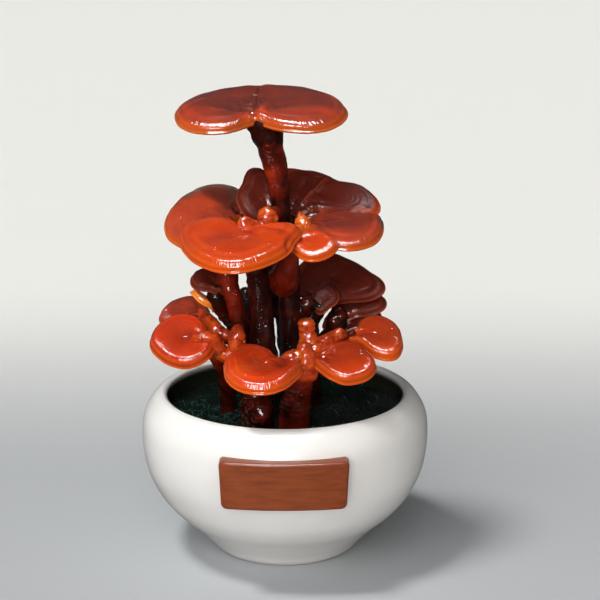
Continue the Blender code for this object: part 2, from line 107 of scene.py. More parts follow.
# Each cap's unnamed values are its root, heading, pitch, roll, middle and radii
CAPS = {
    "cap_top": Cap(
        (-17, -24, 275.2), 90, 9.2, 0, (28, 0),
        (33, 46, 57, 58, 53, 45, 36, 28, 20, 25, 32, 41, 46, 52, 56, 50), thick=8.5, droop=5.5, waves=4,
        wrinkle=1.5, fold=0.8, funnel=0, crumples=((15, 1, 6, 0.9), (14, -11, 7, 0.8), (4, 6, 6, 0.5)),
        creases=((-9, -1, 8, 0, 1.6, 0.9, -0.6), (4, -1, 46, -3, 1.6, 1.4, -0.9),
            (2, 6, 22, 12, 1.3, 0.9, 0.5), (-1, 8, 9, 24, 1.6, 0.8, -0.5), (4, -6, 20, -14, 1.5, 0.9, 0.4),
            (24, 8, 38, 30, 2.2, 0.5, 0.3)),
        spots=((5, 13, 9, 3.5, 75, 2, 0.55), (8, -16, 9, 5, -60, 0.8, 0.3), (15, 1, 14, 8, 0, 0.4, 0.3),
            (43, -8, 6, 4, 0, -0.2, -0.2), (0, -3, 10, 3, -10, -1.3, -0.8), (-4, 2, 4, 4, 0, -1.6, -0.5),
            (2, -30, 24, 8, 92, 0, -0.4), (1, 26, 20, 6, 90, 0, -0.25), (36, 34, 18, 12, -40, 2.4, 0.1)),
        streaks=((4, 48, 22, 30, 0.7, -0.9), (2, 6, 0, 22, 1, -0.4), (6, 7, 8, 18, 1.3, 0.6),
            (46, 10, 40, 30, 0.8, -0.5)), dull_rims=((10, 62, 3),), age=0.52, back_shade=0.35, rim_glow=1.3,
        sides=260),
    "cap_mid_left": Cap(
        (-27, 2, 212), 178, 0, -14, (20, 4), (24, 26, 38, 42, 33, 26, 25, 29, 37, 44, 33, 20), thick=6,
        fold=0.4, crumples=((3, 3, 7, 0.8),), creases=((32, -28, 8, -3, 3, 0.8, 0.5),),
        dusks=((34, -30, 0, 8, 3, 0.8),), dull_rims=((-140, -48, 12),), back_shade=0, sides=220),
    "cap_mid_front": Cap(
        (-24, -38, 212), -110, -14, 0, (22, 4),
        (22, 29, 42, 45, 36, 30, 28, 28, 30, 31, 30, 30, 32, 34, 41, 25), thick=8, droop=5, ripple=0.5,
        waves=2, wrinkle=0.8, fold=0.5, creases=((8, 2, 14, 18, 2.2, 0.9, 0),
            (6, 8, 6, 34, 1.8, 0.6, -0.4)),
        spots=((20, -3, 12, 6, -35, 0.5, 0.42), (28, 14, 12, 6, 30, 0.3, 0.22), (11, 9, 5, 4, 0, 1, 0.45),
            (8, 26, 12, 3, 80, 0.6, 0.3), (18, 35, 5, 1.6, 20, 2.2, 0.6)), back_shade=0, rim_glow=0.7,
        skin="orange", sides=260),
    "cap_mid_small": Cap(
        (7, -47, 208), -15, -2, 24, (11, -2), (16, 13, 15, 15, 15, 12, 11, 12), thick=5, hollow=2, droop=3,
        bend=10, ripple=0.3, roll_width=0.5, wrinkle=0.6, fold=0.3, funnel=1, crumples=((4, 2, 5, 0.7),),
        spots=((8, 0, 6, 4, 20, 0.8, 0.35),), back_shade=0, skin="orange", sides=140),
    "cap_mid_right": Cap(
        (12, -14, 209), 0, 0, 10, (24, 0), (28, 24, 30, 35, 31, 26, 24, 26, 27, 21, 20, 22), thick=6.5,
        hollow=3, fold=0.4, crumples=((6, 5, 6, 0.7),), spots=((44, 6, 8, 14, 0, 0, 0.25),),
        dull_rims=((-10, 50, 2),), age=0.15, back_shade=0.1, sides=200),
    "cap_mid_back": Cap(
        (4, 6, 209), 80, 36, -7, (18, -12),
        (18, 18, 24, 46, 36, 22, 18, 17, 18, 23, 33, 33, 29, 24, 22, 22), thick=6, ripple=1.2, waves=4,
        bands=0.22, wrinkle=1.2, fold=0.9, crumples=((3, -3, 9, 0.9), (4, -16, 7, 0.7)),
        creases=((5, -6, 30, -22, 0.9, -1.2, 1.4), (4, 0, 30, -8, 2, 0.8, 0),
            (-2, -31, 3.5, -44, 1, -0.6, -0.4), (3.5, -44, -2, -58, 1, -0.6, -0.4)),
        streaks=((7, -7, 29, -21, 0.9, -0.75), (-3, -31, 2, -44, 1.3, -0.9), (2, -44, -3, -57, 1.6, -1.2)),
        lit_rims=((-156, -98, 1),), age=0.5, back_shade=0.1, rim_glow=0.3, skin="plum", sides=240),
    "cap_mid_flap": Cap(
        (-10, -2, 212), 120, 55, 0, (13, 0), (16, 10, 9, 14, 20, 15, 18, 19), thick=5, ripple=0.5,
        roll_width=0.6, bands=0.15, crumples=((3, 2, 8, 1.1),), creases=((2, -4, 20, -6, 1.2, 1, 0.8),),
        spots=((2, 2, 7, 7, 0, 0.4, -0.5),), streaks=((4, -5, 22, -7, 0.8, -0.6),), age=0.4, rim_glow=0.2,
        skin="plum", sides=140),
    "cap_low_left": Cap(
        (-48, -28, 143), -170, -10, -25, (14, 0), (15, 19, 22, 24, 23, 21, 20, 19, 20, 23, 23, 20),
        thick=6.5, hollow=3, bend=14, roll_width=0.7, wrinkle=0.5, funnel=0,
        spots=((10, 1, 7, 6, 0, 0.6, 0.3),), age=0.35, back_shade=0, rim_glow=0.6, skin="red", sides=180),
    "cap_low_left_back": Cap(
        (-51, 5, 150), 170, 0, -20, (12, 0), (16, 12, 14, 13, 13, 18, 15, 12), thick=5, hollow=2, droop=3,
        roll_width=0.6, age=0.35, rim_glow=0.2, sides=120),
    "cap_low_dark": Cap(
        (-42, -15, 171), 150, 24, -10, (6, 0), (12, 11, 12, 11.5, 10.5, 11, 11, 9), thick=6, hollow=2,
        droop=3, roll_width=0.5, bands=0.12, age=0.7, rim_glow=0.3, skin="plum", sides=120),
    "cap_low_young": Cap(
        (-43, -12, 156), 190, 38, 0, (8.5, 0), (9, 8, 8, 9, 10.5, 9, 8, 8), thick=4, hollow=1.5, droop=2,
        ripple=0.3, roll_width=0.4, wrinkle=0.3, fold=0.3, funnel=0.5, back_shade=0, skin="amber", sides=120),
    "cap_low_front": Cap(
        (-2, -56, 137), -125, -14, -6, (14, -2), (15, 20, 30, 28, 24, 24, 25, 25, 23, 21, 22, 18),
        thick=7.5, hollow=3, ripple=0.5, waves=2, roll_width=0.8, crumples=((7, 6, 6, 0.6),),
        spots=((9, 7, 5, 4, 30, 1.4, 0.7), (20, -8, 12, 8, 0, 0.5, -0.25)), back_shade=0.05, rim_glow=0.6,
        skin="red", sides=200),
    "cap_low_right_front": Cap(
        (23, -47, 136), -8, -6, 22, (16, -5), (21, 17, 16, 16, 15, 16, 17, 17, 18, 21, 21, 21), thick=6,
        hollow=3, bend=14, ripple=0.5, roll_width=0.6, age=0.2, back_shade=0.1, rim_glow=0.8, skin="orange"),
    "cap_low_right": Cap(
        (40, -26, 142), 0, -4, 20, (16, 0), (20, 14, 14, 18, 21, 18, 16, 17, 20, 22, 19, 15), thick=6,
        hollow=3, bend=14, ripple=0.3, roll_width=0.6, wrinkle=0.3, fold=0.2, age=-0.15, back_shade=0,
        skin="red"),
    "cap_low_back": Cap(
        (22, 14, 152), 50, 44, 0, (18, 0), (24, 19, 24, 40, 25, 19, 18, 22, 30, 32, 27, 19), thick=6,
        hollow=3, bands=0.4, fold=0.9, crumples=((4, -6, 9, 0.9),),
        creases=((4, -4, 12, -34, 2.4, 0.8, 0.4),), age=0.5, back_shade=0.1, rim_glow=0.2, skin="plum",
        sides=220),
    "cap_low_back_mid": Cap(
        (30, 8, 144), 20, 25, 10, (14, 0), (22, 12, 10, 22, 20, 19, 16, 12), thick=5, hollow=2, ripple=0.5,
        roll_width=0.6, bands=0.3, crumples=((8, 0, 10, 0.7),), age=0.5, rim_glow=0.3, skin="plum"),
    "cap_low_back_low": Cap(
        (34, 1, 135.5), 20, 25, 10, (12, 0), (15, 8, 8, 12, 18, 17, 10, 8), thick=4, hollow=2, ripple=0.5,
        roll_width=0.5, bands=0.25, crumples=((6, 0, 9, 0.7),), age=0.4, rim_glow=0.3, skin="plum",
        sides=140),
    "cap_low_inner": Cap(
        (22, -8, 156), 70, 50, 0, (6, 0), (10, 8, 10, 10, 9, 8, 7, 7), thick=4, hollow=1, droop=2,
        ripple=0.3, roll_width=0.35, wrinkle=0.3, fold=0.3, funnel=0.5, age=0.6, rim_glow=0.6, skin="plum",
        sides=110),
}

# Form along a cap's rim: height, distance from the rim and width of the lip, its groove and a second crest
RIM_FORM = ((0.40, 3.4, 1.9), (-0.42, 7.2, 1.7), (0.16, 10.6, 1.5))

STEM_FOOT = 50.0

# Stems, branches and buds: x, y, z, radius and, unless it is 0 (dark bark), tone: 1 is orange, more is amber
STEMS = {
    "stem_top": (
        (5, 2, STEM_FOOT, 7.5), (5, 0, 92, 7.5, 0.1), (4, -4, 128, 7), (3, -6, 167, 6.8),
        (1, -9, 194, 6.2, -0.1), (-2, -13, 222, 5.6), (-4, -16, 241, 6.6, 0.1), (-8, -19, 258, 8, 0.1),
        (-12, -22, 273, 9.5, -0.4)),
    "stem_mid_front": (
        (-15, -16, STEM_FOOT, 8, 0.1), (-17, -26, 90, 9.5, 0.05), (-17, -28, 108, 9, 0.05),
        (-14, -25, 128, 8.6), (-13.8, -24, 155, 7.2), (-16.5, -29, 180, 6.2), (-19, -35, 196, 6.5),
        (-23, -38, 209, 6, 0.2)),
    "stem_mid_left": (
        (-22, 16, STEM_FOOT, 6), (-22, 6, 92, 5.5), (-24, -8, 120, 5, 0.1), (-26, -14, 142, 5, 0.05),
        (-31, -14, 162, 5.4, 0.42), (-35, -11, 178, 6.4, 0.42), (-34, -5, 195, 6.2, 0.15),
        (-30, 0, 208, 4.6)),
    "stem_mid_back": (
        (4, 30, STEM_FOOT, 5.8), (3, 27, 110, 6.6), (1, 22, 128, 6.6), (-0.5, 19, 142, 5.8),
        (-5.5, 17, 156, 5.8), (-5, 14, 180, 5.8), (5, 8, 207, 5)),
    "stem_low_left": (
        (-38, 6, STEM_FOOT, 5), (-36, 2, 95, 5, 0.1), (-38, -10, 116, 4.6, 0.2), (-43, -23, 131, 4.4, 0.5),
        (-50, -28, 142, 3, 0.9)),
    "stem_low_right": (
        (8, -24, STEM_FOOT, 8.5, 0.1), (6, -33, 86, 8.8, 0.3), (7, -40, 105, 8.2, 0.12),
        (10, -46, 122, 7.5, 0.35), (13, -49, 134, 6.5, 0.9), (12, -50, 143, 5, 1)),
    "stem_back_right": (
        (18, 22, STEM_FOOT, 6.5), (15, 18, 110, 6.8), (14.5, 15, 138, 6.8), (22, 14, 150, 4.5)),
    "bud_back": (
        (-9, 27, STEM_FOOT, 5), (-13, 22, 105, 5), (-20, 14, 130, 5), (-23.5, 11, 148, 5.2),
        (-24.7, 9, 158, 5.2), (-25, 8, 162, 3.5)),
    "stem_low_dark": (
        (-28, -14, 140, 2.6), (-33, -14, 146.5, 3.2), (-37.5, -14, 154, 4.4), (-42, -15, 164, 5.4),
        (-43, -15, 170, 3.4)),
    "branch_mid_small": (
        (2, -10, 172, 6), (0, -18, 176, 8.6, 0.3), (-0.5, -28, 181, 8.8, 0.3), (4, -40, 196, 5, 0.3),
        (8, -46, 205, 3, 0.8)),
    "branch_mid_right": ((2, -9, 186, 4.5), (7, -12, 197, 5), (12, -14, 208, 4, 0.2)),
    "branch_left_upper": (
        (-27, -15, 133.5, 3, 0.2), (-35, -18, 139.5, 4.4, 0.7), (-42.5, -15, 144.5, 4.6, 0.9),
        (-48.5, -6, 149, 4, 0.9), (-53, 4, 150.5, 2, 0.9)),
    "branch_low_front": (
        (13, -49, 136, 4.2, 1), (7, -52, 138, 4.6, 1), (2, -55, 137.5, 3.8, 1), (-2, -56, 136.5, 2.4, 1)),
    "branch_low_right": (
        (13, -49, 135, 4, 1), (18, -44, 140.5, 4.8, 1), (25, -39, 143.5, 4.3, 1), (33, -32, 146, 3.7, 1),
        (37.5, -28, 144, 2.3, 0.25), (42, -26, 145, 2.1, 0.25)),
    "branch_right_front": ((12, -48, 127, 4, 0.8), (18, -48, 131, 4.4, 0.9), (24, -47, 136, 2.5, 0.9)),
    "branch_mid_front": (
        (-26, -42, 211, 3, 1), (-23, -42, 216, 4.4, 1), (-17, -38, 214.5, 3.8, 1), (-12, -33, 215, 4.4, 1),
        (-10, -27, 219, 5, 1), (-5, -16, 218, 4.2, 0.1)),
    "branch_left_lower": (
        (-26, -33, 137, 3.4, 0.8), (-32, -32, 134.5, 4.4, 0.9), (-37.5, -31, 133.5, 4.8, 1),
        (-42, -29, 137, 3.8, 1), (-44.5, -28.5, 139.5, 3, 1)),
    "bud_left": (
        (-17, -27, 128, 4.5, 0.4), (-24.5, -32, 132, 5, 0.9), (-28, -34, 139, 5.8, 1),
        (-28.5, -34, 146, 5.6, 0.8), (-28, -34, 150.5, 3.4, 0.5)),
    "bud_right": (
        (16.3, -39.7, 140, 5.6, 1), (15.2, -39.6, 143, 5.8, 1), (14.3, -40, 148.5, 5, 1),
        (13.3, -40, 154, 5.3, 1), (13, -40, 157, 4.4, 1)),
    "branch_mid_flap": ((-1, 12.5, 187, 4), (-5, 7, 198, 4.5), (-10, -1, 212.5, 2, 0.2)),
    "branch_low_inner": (
        (4, -5, 150, 4.5), (10, -5, 154, 5, 0.1), (15, -5, 157, 5.4, 0.25), (22, -8, 157, 1.6)),
    "branch_back_low": (
        (18, 16, 120, 3.5), (24, 11, 128, 4.5), (31, 5, 138, 6.5), (33, 3, 147, 6.5), (33, 3, 152, 4)),
    "bud_mid_right": (
        (11, -19, 205, 3, 1.4), (11, -20, 211, 4.8, 1.5), (10, -20, 215.5, 3.8, 1.5),
        (9.5, -19, 218.5, 1.5, 1.2)),
}

YOUNG = 0.6               # a stem whose points have more tone than this on average is young growth
SLIM = 5.8                # a stem with no radius above this gets fewer sides

# The end of a stalk that runs on over the low left cap; the CAD leaves it out
STALK = (
    (-37, -32, 134, 4.2, 1), (-41, -34.5, 140, 4.6, 1), (-46, -36, 144.5, 4.2, 0.95),
    (-51, -36.5, 144.8, 3.6, 0.8), (-55, -36, 143.2, 2.4, 0.7),
)

# Knobs on stems and branches: x, y, z, height (below 0 for a dent), size and, unless height sets it, tone; a
# tone set by height is partly the knob's own orange and partly painted highlight, and darker in a dent, painted
# shade
KNOBS = {
    "stalk_low_left": ((-50, -38, 148, 0.8, 2.4), (-46, -36, 147, 0.8, 2.4)),
    "branch_mid_front": (
        (-24, -43, 220, 1.8, 3), (-21, -45, 214, 1.4, 2.6), (-14, -38, 214, 2, 2.8),
        (-10, -30, 222, 2, 2.8), (-6, -28, 217, 2, 3), (-18.5, -41, 217, -1, 1.8), (-9, -31, 218, -1.6, 1.3)),
    "branch_low_front": (
        (9, -55, 140.5, 2, 3), (3.5, -57, 139, 1.8, 2.6), (-1, -58, 137, 1.4, 2.2),
        (6.2, -57, 139.5, -1.8, 1.1), (1, -59, 138.5, -1.5, 1)),
    "bud_right": (
        (11, -43, 157, 1.2, 3.4), (16, -42, 156, 1, 3), (13.5, -45, 151, -1.3, 1.8),
        (10, -42, 151, -0.8, 1.6), (18.5, -43, 143, 2.4, 5), (11, -43, 143, 1, 4)),
    "branch_low_right": (
        (19, -48, 143, 1, 3.5), (26, -42, 147, 1, 2.4), (33.5, -34, 149, 1.6, 2), (29, -38, 144, 0.8, 2.6)),
    "bud_left": ((-26, -38, 149, 1.4, 3), (-30, -38, 144, 1.2, 3), (-27, -38, 138, 1, 3)),
    "branch_left_upper": ((-36, -20, 142, 1.4, 3), (-43, -18, 148, 1.3, 2.8), (-47, -12, 150, 1.3, 2.6)),
    "branch_left_lower": ((-31, -35, 131, 1.8, 3.6), (-37, -34, 134, 1.2, 3), (-40, -32, 139, 1.2, 2.6)),
    "stem_low_right": ((13, -54, 134, 2.6, 4), (17, -52, 126, 2.4, 3.6), (10, -54, 126, 1.8, 3.6)),
    "stem_mid_front": ((-14, -38, 95, 2.6, 4), (-10, -34, 99, 1.5, 4, 0.1)),
    "branch_back_low": ((30, -1, 146, 1.6, 3), (36, -2, 150, 1.5, 3), (33, -2, 140, 1.4, 3)),
    # the flat patches of tone on stem_top are a painted highlight down its lit left side
    "stem_top": (
        (-10, -28, 262, 1.6, 4), (-2, -24, 258, 1.4, 4), (-9, -21, 243, 0, 7.5, 0.42),
        (-7, -20, 233, 0, 7, 0.3)),
}

# Seams up a stem: from and to height, direction that they face and height
SEAMS = {
    "stem_mid_front": (112, 158, -62, 0.9), "stem_mid_back": (108, 165, -100, 0.7),
    "stem_low_dark": (144, 168, -70, 0.5),
}

# Ribs across a stem: from and to height, spacing and height of the ribs
RIBS = {
    "stalk_low_left": (120, 160, 2.2, 0.25), "stem_low_right": (96, 124, 3.2, 0.5),
    "bud_back": (140, 162, 1.9, 0.4), "branch_mid_small": (170, 184, 2.4, 0.3),
    "bud_right": (138, 158, 3.6, 0.2), "branch_left_lower": (125, 145, 2.6, 0.2),
    "stem_low_dark": (138, 160, 3, 0.2),
}


# -------- small tools

def catmull_rom(before, start, end, after, step):
    """Blend four neighbouring values or vectors, step running from start (0) to end (1)."""
    square = step * step
    cube = square * step
    return 0.5 * (2 * start + (end - before) * step + (2 * before - 5 * start + 4 * end - after) * square
                  + (3 * start - before - 3 * end + after) * cube)


def smooth_line(points, per_span):
    """Rows on a smooth curve through given points."""
    rows = np.array(points, float)
    rows = np.vstack((2 * rows[0] - rows[1], rows, 2 * rows[-1] - rows[-2]))
    line = [catmull_rom(*rows[index - 1:index + 3], step / per_span)
            for index in range(1, len(rows) - 2) for step in range(per_span)]
    return np.array([*line, rows[-2]])


def ease(value, low, high):
    """0 at low, 1 at high, smooth between."""
    share = np.clip((value - low) / (high - low), 0, 1)
    return share * share * (3 - 2 * share)


def between(value, start, full, fading, end):
    """0 outside start to end, 1 from full to fading, smooth between."""
    return ease(value, start, full) * (1 - ease(value, fading, end))


def bell(value, width):
    """1 at 0, falling smoothly to almost 0 at two widths."""
    return np.exp(-(value / width) ** 2)


def vectors(*parts):
    """Vectors whose parts are arrays or plain numbers."""
    return np.stack(np.broadcast_arrays(*parts), -1)


def circle(count):
    """Even bearings right round, without a second one at the end."""
    return np.linspace(0, math.tau, count, endpoint=False)


def lattice_value(lattice, seed):
    """A fixed random value from -1 to 1 for each whole-numbered lattice point."""
    mixed = (lattice * np.array((73856093, 19349663, 83492791))).sum(-1) + seed * 2654435
    mixed = (mixed ^ (mixed >> 13)) * 1274126177
    mixed = mixed ^ (mixed >> 16)
    return (mixed & 0xffff) / 32767.5 - 1


def noise(points, size, seed=0):
    """Smooth random value from -1 to 1 at each point, with bumps about as wide as size."""
    cell = points / size + 0.37 * seed
    low = np.floor(cell).astype(np.int64)
    part = cell - low
    part = part * part * (3 - 2 * part)
    total = 0
    for corner in itertools.product((0, 1), repeat=3):
        weight = np.where(np.array(corner) == 1, part, 1 - part).prod(-1)
        total = total + weight * lattice_value(low + np.array(corner), seed)
    return total


def grid_faces(rows, columns):
    """Quads of a grid whose columns close on themselves, with a single point at either end."""
    faces = []
    last = 1 + (rows - 1) * columns
    for column in range(columns):
        after = (column + 1) % columns
        faces.append((0, 1 + column, 1 + after))
        for here in range(1, last, columns):
            below = here + columns
            faces.append((here + column, below + column, below + after, here + after))
        faces.append((last + column, last + columns, last + after))
    return faces


def trim(grid):
    """A grid's points in mesh order, with each pole once."""
    return np.concatenate((grid[:1, 0], grid[1:-1].reshape(-1, *grid.shape[2:]), grid[-1:, 0]))


def put(name, data):
    """A new object in the scene."""
    thing = bpy.data.objects.new(name, data)
    scene.collection.objects.link(thing)
    return thing


def new_piece(name, points, faces, material, marks=None):
    """A smooth mesh object from points in metres, with a mark at each point where the material needs one."""
    mesh = bpy.data.meshes.new(name)
    mesh.from_pydata(points, [], faces)
    for mark, values in (marks or {}).items():
        kind, field = ("FLOAT_VECTOR", "vector") if np.ndim(values) == 2 else ("FLOAT", "value")
        mesh.attributes.new(mark, kind, "POINT").data.foreach_set(field, np.ravel(values).astype(np.float32))
    mesh.shade_smooth()
    mesh.materials.append(material)
    piece = put(name, mesh)
    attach(piece, "root")
    return piece


# -------- materials

class Recipe:
    """A Principled material in the making, with short calls for its nodes."""

    def __init__(self, name, **fixed):
        self.material = bpy.data.materials.new(name)
        self.material.use_nodes = True
        self.tree = self.material.node_tree
        self.shader = self.tree.nodes["Principled BSDF"]
        for socket, value in fixed.items():
            self.shader.inputs[socket.replace("_", " ")].default_value = value

    def node(self, kind, inputs=(), **settings):
        node = self.tree.nodes.new("ShaderNode" + kind)
        for key, value in settings.items():
            setattr(node, key, value)
        for socket, value in dict(inputs).items():
            if isinstance(value, bpy.types.NodeSocket):
                self.tree.links.new(value, node.inputs[socket])
            else:
                node.inputs[socket].default_value = value
        return node

    def mark(self, name, output="Fac"):
        """What new_piece wrote at the mesh's points under this name."""
        return self.node("Attribute", attribute_name=name).outputs[output]

    def place(self):
        return self.node("TexCoord").outputs["Object"]

    def stretched(self, vector, scale):
        return self.node("Mapping", {"Vector": vector, "Scale": scale}).outputs["Vector"]

    def noise(self, size, detail=3.0, vector=None, distortion=0.0):
        """Noise whose lumps are about size millimetres wide."""
        inputs = {"Vector": vector or self.place(), "Scale": 1 / (size * MM), "Detail": detail,
                  "Distortion": distortion}
        return self.node("TexNoise", inputs).outputs["Fac"]

    def span(self, value, low, high, to_low=0.0, to_high=1.0, kind="LINEAR"):
        inputs = {"Value": value, "From Min": low, "From Max": high, "To Min": to_low, "To Max": to_high}
        return self.node("MapRange", inputs, interpolation_type=kind).outputs["Result"]

    def math(self, operation, first, second):
        return self.node("Math", {0: first, 1: second}, operation=operation).outputs["Value"]

    def mix(self, factor, first, second):
        """Colour from first (factor 0) to second (factor 1)."""
        first, second = ((*tint, 1) if isinstance(tint, tuple) else tint for tint in (first, second))
        return self.node("Mix", {0: factor, 6: first, 7: second}, data_type="RGBA").outputs[2]

    def beads(self, size, low, high, more=0.0):
        """Round beads; one shows where its own random value plus more is past low, and fully past high."""
        cell = self.node("TexVoronoi", {"Vector": self.place(), "Scale": 1 / (size * MM)})
        chosen = self.span(self.math("ADD", cell.outputs["Color"], more), low, high)
        round_top = self.span(cell.outputs["Distance"], 0.38, 0.0, kind="SMOOTHSTEP")
        return self.math("MULTIPLY", round_top, chosen)

    def link(self, value, *sockets):
        for socket in sockets:
            self.tree.links.new(value, self.shader.inputs[socket])

    def finish(self, colour, *bumps, coat=False):
        """The material with its colour and with bumps, one over the other, in the coat as well if it has one.

        A bump is a height from 0 to 1, its depth in millimetres and, unless 1, its strength.
        """
        self.link(colour, "Base Color")
        inputs = {}
        for height, depth, *strength in bumps:
            inputs |= {"Height": height, "Distance": depth * MM, "Strength": (*strength, 1.0)[0]}
            inputs["Normal"] = self.node("Bump", inputs).outputs["Normal"]
        if bumps:
            self.link(inputs["Normal"], "Normal", *["Coat Normal"] * coat)
        return self.material


def glaze_material():
    """White glaze, a touch creamier where it runs thin."""
    glaze = Recipe("glaze", Roughness=0.35, Specular_IOR_Level=0.3, Coat_Weight=0.7, Coat_Roughness=0.15)
    cloud = glaze.span(glaze.noise(30, 2), 0.35, 0.65)
    outside = glaze.mix(cloud, (0.745, 0.745, 0.73), (0.72, 0.718, 0.70))
    # darker inside the bowl, towards the moss
    body = glaze.mix(glaze.mark("inside"), outside, (0.040, 0.045, 0.028))
    return glaze.finish(body, (glaze.noise(9, 2), 0.03))


def plate_material():
    """Brown glaze with faint level brush streaks, redder where it thins over the edges."""
    plate = Recipe("plate", Roughness=0.35, Specular_IOR_Level=0.12, Coat_Weight=0.12, Coat_Roughness=0.10)
    streak = plate.span(plate.noise(2.2, 3, plate.stretched(plate.place(), (0.12, 1.0, 1.0))), 0.3, 0.7)
    body = plate.mix(streak, (0.17, 0.038, 0.012), (0.24, 0.056, 0.017))
    body = plate.mix(plate.mark("edge"), body, (0.20, 0.042, 0.018))
    return plate.finish(body, (plate.noise(1.2, 2), 0.03), (streak, 0.05))


def soil_material():
    soil = Recipe("soil", Roughness=0.95)
    grain = soil.noise(2.5, 5)
    body = soil.mix(soil.span(grain, 0.35, 0.65), (0.02, 0.014, 0.009), (0.10, 0.07, 0.045))
    return soil.finish(body, (grain, 1.0))


def moss_material():
    """Dark packed moss."""
    moss = Recipe("moss_ground", Roughness=0.9, Specular_IOR_Level=0.1)
    clump = moss.span(moss.noise(7, 4), 0.35, 0.7)
    body = moss.mix(clump, (0.001, 0.003, 0.002), (0.004, 0.014, 0.009))
    return moss.finish(body, (moss.noise(1.5, 4), 0.9))


def strand_material():
    """Moss strands, blackish green at the root, a greyer green at the tip and teal where a pool of light is
    painted on them.
    """
    strand = Recipe("moss_strand", Roughness=0.7, Specular_IOR_Level=0.15)
    patch = strand.span(strand.noise(9, 2), 0.35, 0.65)
    root = strand.mix(patch, (0.0008, 0.003, 0.002), (0.002, 0.008, 0.005))
    tip = strand.mix(patch, (0.006, 0.018, 0.011), (0.014, 0.050, 0.032))
    # the teal of the fresh strands is a painted pool of light
    tip = strand.mix(strand.mark("fresh"), tip, (0.10, 0.30, 0.23))
    return strand.finish(strand.mix(strand.mark("tip"), root, tip))


def thread_material():
    """Pale dry root threads."""
    thread = Recipe("root_thread", Roughness=0.6)
    return thread.finish(thread.mix(thread.noise(4, 2), (0.09, 0.05, 0.025), (0.32, 0.23, 0.14)))


# rim, flesh, old flesh, darkest growth and old rim of each kind of cap
SKINS = {
    "red": ((0.62, 0.085, 0.006), (0.62, 0.042, 0.004), (0.34, 0.024, 0.004), (0.09, 0.008, 0.003),
            (0.40, 0.055, 0.012)),
    "orange": ((0.62, 0.085, 0.006), (0.56, 0.050, 0.005), (0.38, 0.026, 0.004), (0.09, 0.008, 0.003),
               (0.40, 0.055, 0.012)),
    "brick": ((0.50, 0.085, 0.011), (0.45, 0.042, 0.008), (0.18, 0.020, 0.007), (0.060, 0.008, 0.004),
              (0.17, 0.090, 0.060)),
    "plum": ((0.40, 0.060, 0.018), (0.19, 0.020, 0.007), (0.130, 0.014, 0.006), (0.080, 0.010, 0.006),
             (0.15, 0.040, 0.025)),
    "amber": ((1.0, 0.29, 0.035), (0.95, 0.21, 0.02), (0.60, 0.11, 0.015), (0.30, 0.04, 0.01),
              (0.60, 0.14, 0.02)),
}


def skin_material(name):
    """Lacquered cap: fine lines along the rim, broken radial gloss, a brighter rim and a brown pore face."""
    rim, flesh, old, dark, old_rim = SKINS[name]
    plum = name == "plum"
    skin = Recipe("skin_" + name, Roughness=0.5, Coat_Weight=1.0, Coat_Roughness=0.06, Coat_IOR=1.5)
    rim_mark = skin.mark("rim")
    beaded = skin.mark("beaded")
    sheen = 0.03 if name in ("orange", "red") else 0.10
    skin.link(skin.span(rim_mark, 0, 0.6, sheen, 0.0), "Specular IOR Level")
    if plum:    # old growth is dull but for its crinkled root
        skin.link(skin.span(beaded, 0.05, 0.3, 0.07, 0.9), "Coat Weight")
        skin.link(skin.span(beaded, 0.05, 0.3, 0.42, 0.10), "Coat Roughness")
    # the age mark is the cap's own age together with painted shade and painted highlights
    age = skin.math("ADD", skin.mark("age"), skin.span(skin.noise(12, 4), 0.3, 0.7, -0.13, 0.13))
    body = skin.mix(skin.span(age, -0.5, 0.0), rim, flesh)
    body = skin.mix(skin.span(age, 0.0, 0.5), body, old)
    body = skin.mix(skin.span(age, 0.5, 1.0), body, dark)
    rayed = skin.mark("rayed", "Vector")
    lines = skin.noise(1.7, 3, skin.stretched(rayed, (0.14, 0.14, 8.0)))
    body = skin.mix(skin.span(lines, 0.5, 0.75, 0.0, 0.35 if plum else 0.18), body, dark)
    body = skin.mix(rim_mark, body, skin.mix(skin.span(age, 0.2, 0.7), rim, old_rim))
    body = skin.mix(skin.span(skin.noise(1.1, 2), 0.55, 0.8, 0.0, 0.2), body, old)
    cloud = skin.span(skin.noise(17, 3, distortion=0.6), 0.48, 0.72, 0.0, 0.45)
    body = skin.mix(skin.math("MULTIPLY", cloud, skin.span(rim_mark, 0, 0.4, 1.0, 0.0)), body, old)
    body = skin.mix(skin.mark("under"), body, (0.17, 0.040, 0.012))
    strokes = skin.span(skin.mark("fluted"), 0, 1, 0.08, 1.0)
    strokes = skin.math("MULTIPLY", skin.noise(1.1, 2, rayed), strokes)
    beads = skin.beads(2.6, 0.96, 1.02, beaded)
    return skin.finish(body, (lines, 0.34 if plum else 0.06, 0.8), (strokes, 0.60), (beads, 0.50),
                       (skin.noise(5, 2), 0.14, 0.8), (skin.noise(1.5, 2), 0.05), coat=True)


